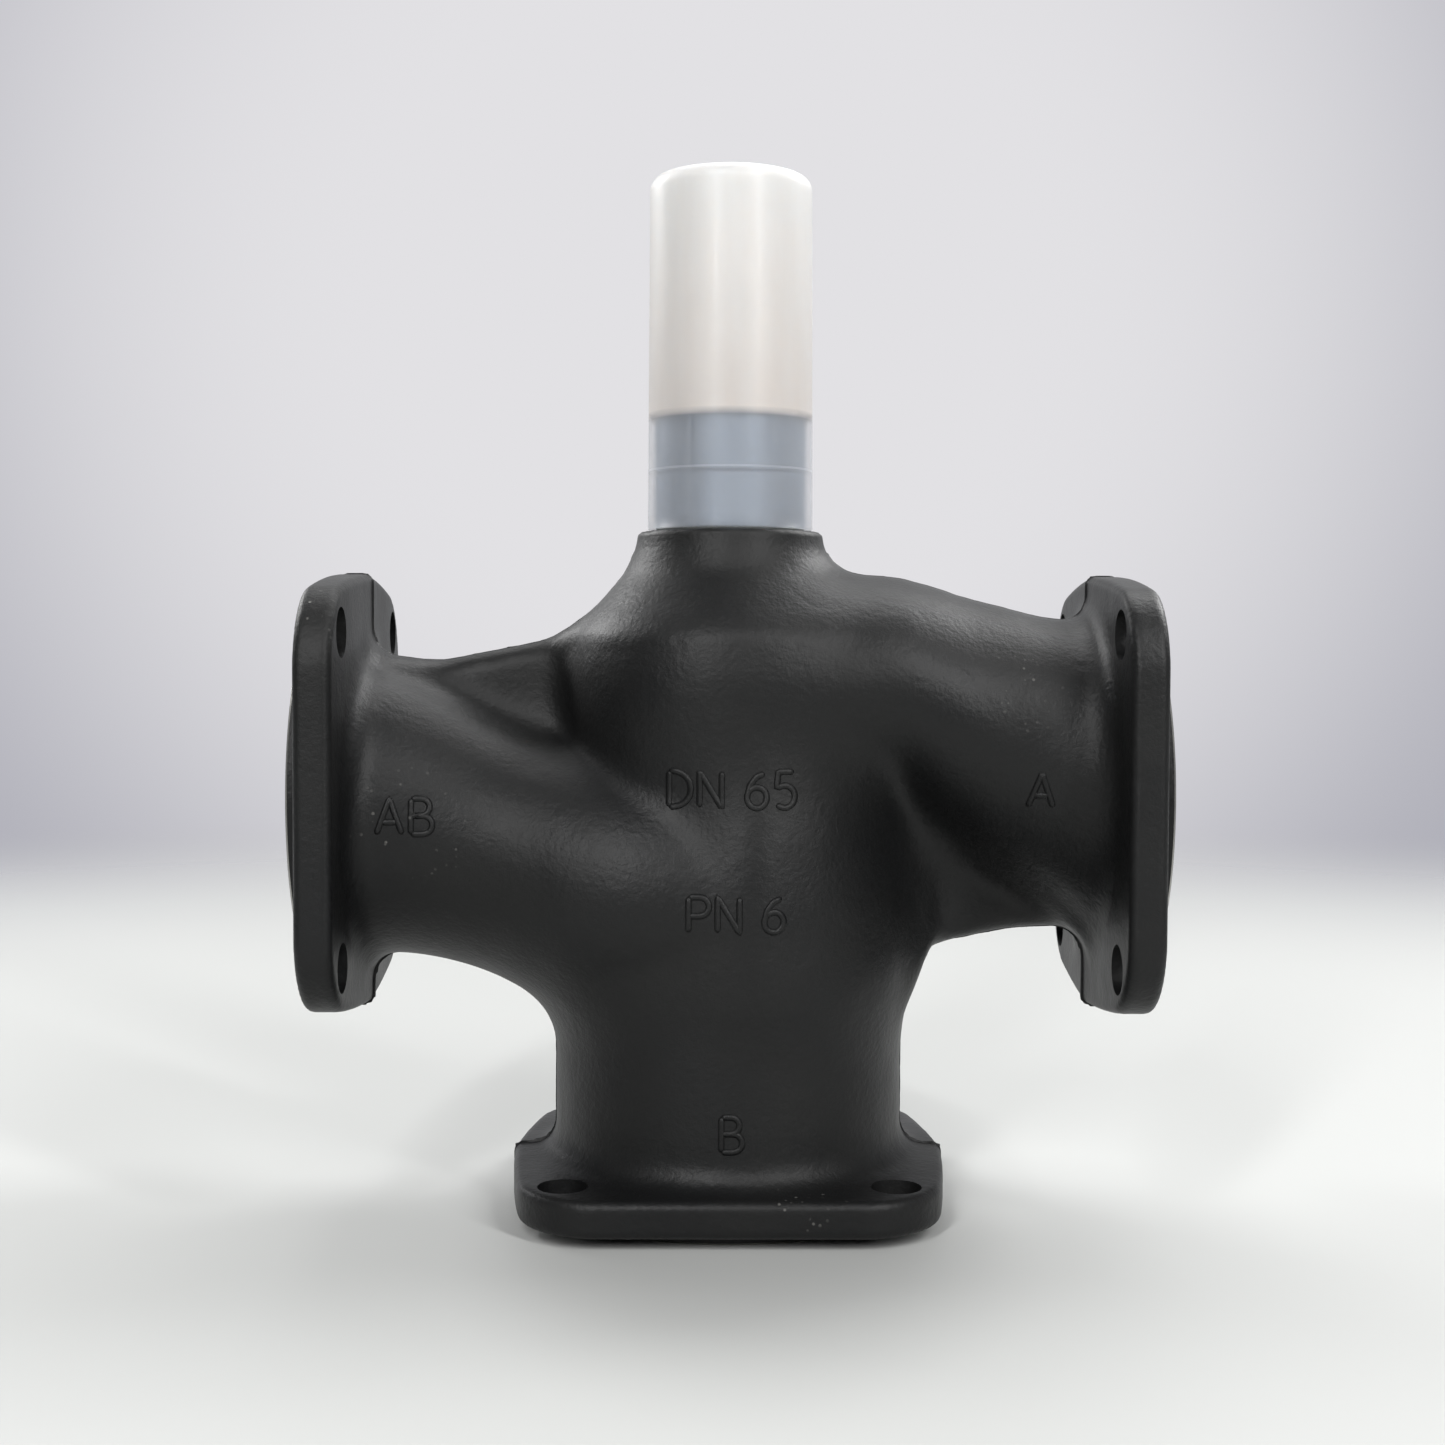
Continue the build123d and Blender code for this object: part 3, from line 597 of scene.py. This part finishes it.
def bowl(left, low, high, wide):
    """The open curve of a letter's bowl: straight, half an ellipse, straight back."""
    turn = np.linspace(-np.pi / 2, np.pi / 2, 9)
    middle, half = (low + high) / 2, (high - low) / 2
    bend = min(half, wide)
    arc = np.stack([left + wide - bend + bend * np.cos(turn), middle + half * np.sin(turn)], 1)
    return np.vstack([[left, low], arc, [left, high]])


turn_six = np.radians(np.linspace(150, 510, 17))
letter_strokes = {
    "A": (0.72, [[(0, 0), (0.36, 1), (0.72, 0)], [(0.14, 0.34), (0.58, 0.34)]]),
    "B": (0.60, [[(0, 0), (0, 1)], bowl(0, 0.52, 1, 0.52), bowl(0, 0, 0.52, 0.60)]),
    "D": (0.62, [[(0, 0), (0, 1)], bowl(0, 0, 1, 0.62)]),
    "N": (0.62, [[(0, 0), (0, 1), (0.62, 0), (0.62, 1)]]),
    "P": (0.58, [[(0, 0), (0, 1)], bowl(0, 0.46, 1, 0.58)]),
    "6": (0.56, [
        np.vstack([[(0.50, 0.96)], [(0.26, 0.86)], [(0.08, 0.62)],
                   np.stack([0.28 + 0.28 * np.cos(turn_six), 0.29 + 0.29 * np.sin(turn_six)], 1)])
    ]),
    "5": (0.56, [
        np.vstack([[(0.52, 1)], [(0.08, 1)], [(0.04, 0.56)],
                   np.stack([0.26 + 0.29 * np.cos(np.radians(np.linspace(110, -140, 13))),
                             0.31 + 0.31 * np.sin(np.radians(np.linspace(110, -140, 13)))], 1)])
    ]),
    " ": (0.22, []),
}
mark_section = np.array(
    [(-1.0, -0.9), (-0.85, 0.15), (-0.45, 0.48), (0.0, 0.58), (0.45, 0.48), (0.85, 0.15), (1.0, -0.9)]
)


def cast_marks(words):
    """Ridges carried along each letter's strokes: at every step the section is laid across the stroke,
    each of its points then pushed back along y until it meets the casting's skin."""
    points, faces = [], []
    for word, middle_x, low_z, high in words:
        wide = sum(letter_strokes[letter][0] + 0.24 for letter in word) - 0.24
        cursor = -wide / 2
        for letter in word:
            for stroke in letter_strokes[letter][1]:
                line = (np.asarray(stroke, float) + (cursor, 0)) * high
                length = np.concatenate([[0], np.cumsum(np.hypot(*np.diff(line, axis=0).T))])
                count = max(int(length[-1] / 0.55), 4)
                at = np.linspace(0, length[-1], count)
                way = np.stack([np.interp(at, length, line[:, k]) for k in (0, 1)], 1)
                along = np.gradient(way, axis=0)
                along /= np.hypot(*along.T)[:, None]
                across = np.stack([along[:, 1], -along[:, 0]], 1)
                end = np.minimum(at, length[-1] - at)
                blunt = np.sqrt(np.clip(1 - (1 - np.clip(end / 0.9, 0, 1)) ** 2, 0.12, 1))[:, None]
                spread = mark_section[:, 0] * blunt
                x = middle_x + way[:, :1] + across[:, :1] * spread
                z = low_z + way[:, 1:] + across[:, 1:] * spread
                y = np.full(x.shape, -75.0)
                for _ in range(60):
                    y = y + 0.85 * casting_distance(x, np.abs(y), z)
                lift = np.where(mark_section[:, 1] > 0, mark_section[:, 1] * blunt, mark_section[:, 1])
                ridge = np.stack([x, y - lift, z], -1)
                first, ring = sum(len(p) for p in points), len(mark_section)
                points.append(ridge.reshape(-1, 3))
                last = first + (count - 1) * ring
                faces += (first + tube_faces(count, ring)[0]).tolist()
                faces += [list(range(first, first + ring))[::-1], list(range(last, last + ring))]
            cursor += letter_strokes[letter][0] + 0.24
    mesh = bpy.data.meshes.new("cast_marks")
    mesh.from_pydata((np.vstack(points) * MM).tolist(), [], faces)
    mesh.polygons.foreach_set("use_smooth", np.ones(len(mesh.polygons), bool))
    made = bpy.data.objects.new("cast_marks", mesh)
    bpy.context.scene.collection.objects.link(made)
    return made


marks = cast_marks([
    ("AB", -90.0, 110.4, 9.8), ("A", 86.0, 118.2, 9.4), ("B", 0.5, 24.5, 9.6),
    ("DN 65", 0.3, 118.5, 9.8), ("PN 6", 1.5, 85.0, 9.6),
])
marks.data.materials.append(black_paint)
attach(marks, "housing")


# ---------------------------------------------------------------- turned metal of the trim and the stem
# Seat rings, plug, stem, washers and nuts are bar turned on a lathe; the spring is drawn wire. Each keeps
# its exact shape and gets its own metal, with the tool's fine rings and slight staining.
def turned_metal(name, dark, light, smooth, rough, pitch):
    """A bar-turned metal: rings along the stem axis at the tool's pitch, and a slow stain between
    two tones."""
    made, tree, shader, place = new_material(name)
    shader.inputs["Metallic"].default_value = 1.0
    stain = add_node(tree, "ShaderNodeTexNoise", {"Vector": place, "Scale": 1 / (7 * MM), "Detail": 4.0})
    tone = add_node(
        tree, "ShaderNodeMix", {0: stain.outputs["Fac"], 6: colour(dark), 7: colour(light)}, data_type="RGBA"
    )
    tree.links.new(tone.outputs[2], shader.inputs["Base Color"])
    dull = add_node(
        tree, "ShaderNodeMapRange", {"Value": stain.outputs["Fac"], "To Min": smooth, "To Max": rough}
    )
    tree.links.new(dull.outputs["Result"], shader.inputs["Roughness"])
    rings = add_node(
        tree,
        "ShaderNodeTexWave",
        {"Vector": place, "Scale": 0.314 / (pitch * MM), "Distortion": 0.4},
        bands_direction="Z",
    )
    cut = add_node(
        tree, "ShaderNodeBump", {"Height": rings.outputs["Fac"], "Strength": 0.3, "Distance": 0.04 * MM}
    )
    tree.links.new(cut.outputs["Normal"], shader.inputs["Normal"])
    return made


gunmetal = turned_metal("gunmetal_seat_bronze", "#8a6a45", "#b28c5e", 0.26, 0.42, 0.5)
brass = turned_metal("turned_brass", "#a5864b", "#c7aa68", 0.22, 0.38, 0.5)
stainless = turned_metal("ground_stainless_steel", "#8d8f92", "#b9bbbd", 0.16, 0.30, 0.35)
zinc = turned_metal("blue_zinc_plated_steel", "#7a8798", "#929daa", 0.50, 0.60, 0.6)
for node, finish in (
    ("seat_ring_a", gunmetal), ("seat_ring_b", gunmetal), ("guide_bush", gunmetal),
    ("valve_plug", brass), ("plug_skirt_a", brass), ("plug_skirt_b", brass), ("gland_follower", brass),
    ("stem", stainless), ("plug_washer", stainless), ("plug_nut", stainless), ("plug_pin", stainless),
    ("spring_seat_washer", stainless), ("packing_spring", stainless), ("spring_top_washer", stainless),
    ("bonnet", zinc), ("packing_nut", zinc),
):
    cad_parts[node].data.materials.clear()
    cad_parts[node].data.materials.append(finish)


# ---------------------------------------------------------------- seals and packing
# Moulded rubber rings, pressed PTFE packing and a cut fibre gasket: matt, with a fine surface grain.
def soft_material(name, dark, light, roughness, grain_size, depth):
    """A moulded or pressed material: two close tones in a fine cloud, and a fine grain in relief."""
    made, tree, shader, place = new_material(name)
    cloud = add_node(tree, "ShaderNodeTexNoise", {"Vector": place, "Scale": 1 / (5 * MM), "Detail": 3.0})
    tone = add_node(
        tree, "ShaderNodeMix", {0: cloud.outputs["Fac"], 6: colour(dark), 7: colour(light)}, data_type="RGBA"
    )
    tree.links.new(tone.outputs[2], shader.inputs["Base Color"])
    shader.inputs["Roughness"].default_value = roughness
    grain = add_node(
        tree, "ShaderNodeTexNoise", {"Vector": place, "Scale": 1 / (grain_size * MM), "Detail": 3.0}
    )
    relief = add_node(
        tree, "ShaderNodeBump", {"Height": grain.outputs["Fac"], "Strength": 0.4, "Distance": depth * MM}
    )
    tree.links.new(relief.outputs["Normal"], shader.inputs["Normal"])
    return made


rubber = soft_material("black_nitrile_rubber", "#161617", "#222222", 0.55, 0.5, 0.05)
ptfe = soft_material("white_ptfe", "#dedcd4", "#eeece6", 0.38, 0.8, 0.03)
fibre = soft_material("grey_fibre_gasket", "#4a4d4c", "#6a6d6a", 0.8, 0.4, 0.08)
for node, finish in (
    ("seat_ring_a_seal", rubber), ("seat_ring_b_seal", rubber), ("stem_seal", rubber),
    ("packing_nut_seal", rubber), ("wiper_ring", rubber), ("bonnet_gasket", fibre),
    ("plug_seal_a", ptfe), ("plug_seal_b", ptfe), ("packing_header", ptfe), ("packing_rings", ptfe),
):
    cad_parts[node].data.materials.clear()
    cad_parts[node].data.materials.append(finish)


# ---------------------------------------------------------------- transport cap
# A thin push-on cap, injection moulded in natural polyethylene. It is milky, but clearer over the height
# that grips the collar, where the collar shows through and a blue-grey band of painted shade in the cap's
# colour stands for it. Six low ribs inside grip the collar.
cap_low, cap_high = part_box("transport_cap")
cap_bottom, cap_top = cap_low.z / MM, cap_high.z / MM
cap_foot_radius, cap_head_radius, cap_wall, cap_round = 24.2, 23.7, 1.5, 4.5


def cap_line(inward):
    """Half a section of the cap, foot to middle of the top, a wall's thickness further in where asked."""
    turn = np.linspace(0, np.pi / 2, 9)
    head, round_off, top = cap_head_radius - inward, cap_round - inward, cap_top - inward
    corner = np.stack(
        [head - round_off + round_off * np.cos(turn), top - round_off + round_off * np.sin(turn)], 1
    )
    share = np.linspace(0, 1, 24)[:-1, None]
    foot = np.array([cap_foot_radius - inward, cap_bottom])
    flat = np.linspace(1, 0, 9)[1:-1, None]
    roof = np.hstack([corner[-1, 0] * flat, corner[-1, 1] + 0 * flat])
    return np.vstack([foot + (corner[0] - foot) * share, corner, roof])


around = 180
outer, inner = cap_line(0.0), cap_line(cap_wall)[::-1]
lip_round = 0.4
lip = np.array(
    [[cap_foot_radius - lip_round, cap_bottom], [cap_foot_radius - cap_wall + lip_round, cap_bottom]]
)
outer[0, 1] += lip_round
inner[-1, 1] += lip_round
line = np.vstack([inner, lip[::-1], outer])
angle = np.arange(around) * 2 * np.pi / around
grip_height, joint_height, rib_depth, rib_half_width = 33, 17.3, 0.9, 0.7
sixth = np.pi / 3
off_rib = ((angle + np.pi / 6) % sixth - np.pi / 6) * (cap_foot_radius - cap_wall)
rib = rib_depth * np.exp(-((off_rib / rib_half_width) ** 4))
is_inner = np.arange(len(line)) < len(inner)
rib_share = np.where(
    is_inner & (line[:, 0] > 20), eased(line[:, 1], cap_bottom + grip_height, cap_bottom + 30), 0
)
radius = line[:, :1] - rib_share[:, None] * rib[None]
ring = np.stack(
    [radius * np.cos(angle), radius * np.sin(angle), np.broadcast_to(line[:, 1:], radius.shape)], -1
)
points = np.vstack([ring.reshape(-1, 3), [[0, 0, cap_top - cap_wall], [0, 0, cap_top]]])
quads, inner_fan, outer_fan = tube_faces(len(line), around)
cap_mesh = bpy.data.meshes.new("milky_cap")
cap_mesh.from_pydata((points * MM).tolist(), [], quads.tolist() + inner_fan.tolist() + outer_fan.tolist())
cap_mesh.polygons.foreach_set("use_smooth", np.ones(len(cap_mesh.polygons), bool))
milky_cap = bpy.data.objects.new("milky_cap", cap_mesh)
bpy.context.scene.collection.objects.link(milky_cap)

cap_plastic, tree, shader, place = new_material("natural_polyethylene")
# Painted highlights: whiter vertical streaks in the cap's colour stand in for the reflected streaks of the
# two front strip lights.
streak_stretch = add_node(tree, "ShaderNodeMapping", {"Vector": place, "Scale": (1.0, 1.0, 0.12)})
painted_highlight_streak = add_node(
    tree, "ShaderNodeTexNoise", {"Vector": streak_stretch.outputs[0], "Scale": 1 / (6 * MM), "Detail": 3.0}
)
milk_and_painted_streaks = add_node(
    tree,
    "ShaderNodeMix",
    {0: painted_highlight_streak.outputs["Fac"], 6: colour("#f6f1ee"), 7: colour("#ffffff")},
    data_type="RGBA",
)
height = add_node(tree, "ShaderNodeSeparateXYZ", {0: place}).outputs["Z"]
grip_top, joint = (cap_bottom + grip_height) * MM, (cap_bottom + joint_height) * MM
crown = cap_top * MM
# Painted shade and light: the cap's colour runs from darker just above the grip to lighter at the crown,
# standing in for how the light falls on it.
painted_shade_by_height = add_node(tree, "ShaderNodeMapRange", {"Value": height, "From Min": grip_top, "From Max": crown})
tint = add_node(
    tree,
    "ShaderNodeMix",
    {0: painted_shade_by_height.outputs["Result"], 6: colour("#ece5e0"), 7: colour("#fffdfa")},
    data_type="RGBA",
)
body = add_node(
    tree,
    "ShaderNodeMix",
    {0: 1.0, 6: milk_and_painted_streaks.outputs[2], 7: tint.outputs[2]},
    data_type="RGBA",
    blend_type="MULTIPLY",
)
# Painted shade: over the height that grips the collar, the cap's own colour is greyed to blue-grey to stand
# for the collar behind the wall, besides the real collar showing through the clearer plastic.
gripping = add_node(
    tree,
    "ShaderNodeMapRange",
    {"Value": height, "From Min": grip_top + 1.2 * MM, "From Max": grip_top - 1.2 * MM},
)
collar_painted_shade = add_node(
    tree,
    "ShaderNodeMix",
    {0: gripping.outputs["Result"], 6: body.outputs[2], 7: colour("#c9ccd1")},
    data_type="RGBA",
)
tree.links.new(collar_painted_shade.outputs[2], shader.inputs["Base Color"])
at_joint = add_node(tree, "ShaderNodeMath", {0: height, 1: joint, 2: 0.3 * MM}, operation="COMPARE")
wetted = add_node(
    tree,
    "ShaderNodeMath",
    {0: at_joint.outputs[0], 1: -0.22, 2: gripping.outputs["Result"]},
    operation="MULTIPLY_ADD",
)
cover = add_node(tree, "ShaderNodeMapRange", {"Value": wetted.outputs[0], "To Min": 0.96, "To Max": 0.30})
tree.links.new(cover.outputs["Result"], shader.inputs["Alpha"])
shader.inputs["Transmission Weight"].default_value = 0.30
shader.inputs["Subsurface Weight"].default_value = 1.0
shader.inputs["Subsurface Radius"].default_value = (1.0, 0.95, 0.9)
shader.inputs["Subsurface Scale"].default_value = 0.005
shader.inputs["Roughness"].default_value = 0.42
shader.inputs["Coat Weight"].default_value = 0.06
shader.inputs["Coat Roughness"].default_value = 0.14
shader.inputs["IOR"].default_value = 1.45
skin = add_node(tree, "ShaderNodeTexNoise", {"Vector": place, "Scale": 1 / (0.9 * MM), "Detail": 3.0})
relief = add_node(
    tree, "ShaderNodeBump", {"Height": skin.outputs["Fac"], "Strength": 0.15, "Distance": 0.03 * MM}
)
tree.links.new(relief.outputs["Normal"], shader.inputs["Normal"])
milky_cap.data.materials.append(cap_plastic)
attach(milky_cap, "cap")
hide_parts("transport_cap")

# ---------------------------------------------------------------- floor, light and camera
# A pale studio floor that fades into the surround, which is brightest behind the valve. Three soft lights
# above and behind give the highlights, and two tall strips in front fill the cap. Only the surround is seen.
floor_radius, around = 1.6, 96
angle = np.arange(around) * 2 * np.pi / around
ring = np.stack([floor_radius * np.cos(angle), floor_radius * np.sin(angle), 0 * angle], -1)
floor_mesh = bpy.data.meshes.new("floor")
floor_mesh.from_pydata(ring.tolist(), [], [list(range(around))])
floor = bpy.data.objects.new("floor", floor_mesh)
bpy.context.scene.collection.objects.link(floor)
floor_paint, tree, shader, place = new_material("pale_studio_floor")
shader.inputs["Base Color"].default_value = colour("#b4b5b3")
shader.inputs["Roughness"].default_value = 0.6
away = add_node(tree, "ShaderNodeVectorMath", {0: place}, operation="LENGTH")
fade = add_node(
    tree,
    "ShaderNodeMapRange",
    {"Value": away.outputs["Value"], "From Min": 0.45, "From Max": 1.35},
    interpolation_type="SMOOTHSTEP",
)
clear = add_node(tree, "ShaderNodeBsdfTransparent")
mixed = add_node(
    tree, "ShaderNodeMixShader", {0: fade.outputs["Result"], 1: shader.outputs[0], 2: clear.outputs[0]}
)
tree.links.new(mixed.outputs[0], tree.nodes["Material Output"].inputs["Surface"])
floor.data.materials.append(floor_paint)

world = bpy.data.worlds.new("studio")
bpy.context.scene.world = world
world.use_nodes = True
tree = world.node_tree
gaze = add_node(tree, "ShaderNodeTexCoord").outputs["Generated"]
middle = add_node(tree, "ShaderNodeVectorMath", {0: gaze, 1: (0.0, 0.985, 0.17)}, operation="DOT_PRODUCT")
glow = add_node(
    tree,
    "ShaderNodeMapRange",
    {"Value": middle.outputs["Value"], "From Min": 0.90, "From Max": 0.99},
    interpolation_type="SMOOTHSTEP",
)
seen = add_node(
    tree,
    "ShaderNodeMix",
    {0: glow.outputs["Result"], 6: colour("#b0b0b9"), 7: colour("#e2e1e4")},
    data_type="RGBA",
)
front = add_node(tree, "ShaderNodeSeparateXYZ", {0: gaze})
behind = add_node(
    tree,
    "ShaderNodeMapRange",
    {"Value": front.outputs["Y"], "From Min": -0.3, "From Max": 0.9, "To Min": 0.10, "To Max": 0.75},
    interpolation_type="SMOOTHSTEP",
)
path = add_node(tree, "ShaderNodeLightPath")
lit = add_node(
    tree, "ShaderNodeBackground", {"Color": colour("#f2f3f6"), "Strength": behind.outputs["Result"]}
)
shown = add_node(tree, "ShaderNodeBackground", {"Color": seen.outputs[2]})
both = add_node(
    tree, "ShaderNodeMixShader", {0: path.outputs["Is Camera Ray"], 1: lit.outputs[0], 2: shown.outputs[0]}
)
tree.links.new(both.outputs[0], tree.nodes["World Output"].inputs["Surface"])

for name, where, size, power in (
    ("light_above", (0.15, 0.60, 1.40), (1.1, 0.6), 9.0),
    ("light_back_left", (-1.00, 0.70, 0.85), (0.5, 0.5), 11.0),
    ("light_back_right", (1.00, 0.65, 1.05), (0.6, 0.6), 15.0),
    ("strip_front_left", (-0.42, -1.10, 0.88), (0.12, 1.0), 12.5),
    ("strip_front_right", (0.72, -0.92, 0.88), (0.12, 1.0), 13.0),
):
    lamp = bpy.data.lights.new(name, "AREA")
    lamp.shape = "RECTANGLE"
    lamp.size, lamp.size_y = size
    lamp.energy = power
    holder = bpy.data.objects.new(name, lamp)
    holder.visible_camera = False
    bpy.context.scene.collection.objects.link(holder)
    aim = Vector(np.array([0, 0, 0.12]) - np.array(where))
    turned = aim.to_track_quat("-Z", "Y").to_matrix().to_4x4()
    holder.matrix_world = Matrix.Translation(where) @ turned

camera_data = bpy.data.cameras.new("camera")
camera_data.lens = 51.3
camera_data.sensor_width = 36.0
camera = bpy.data.objects.new("camera", camera_data)
bpy.context.scene.collection.objects.link(camera)
bpy.context.scene.camera = camera
yaw, pitch, roll = np.radians([-0.43, 2.25, -0.20])
camera.matrix_world = (
    Matrix.Translation((-0.0066, -0.6076, 0.1638))
    @ Matrix.Rotation(yaw, 4, "Z")
    @ Matrix.Rotation(-pitch, 4, "X")
    @ Matrix.Rotation(roll, 4, "Y")
    @ Matrix.Rotation(np.pi / 2, 4, "X")
)
bpy.context.scene.view_settings.view_transform = "Standard"
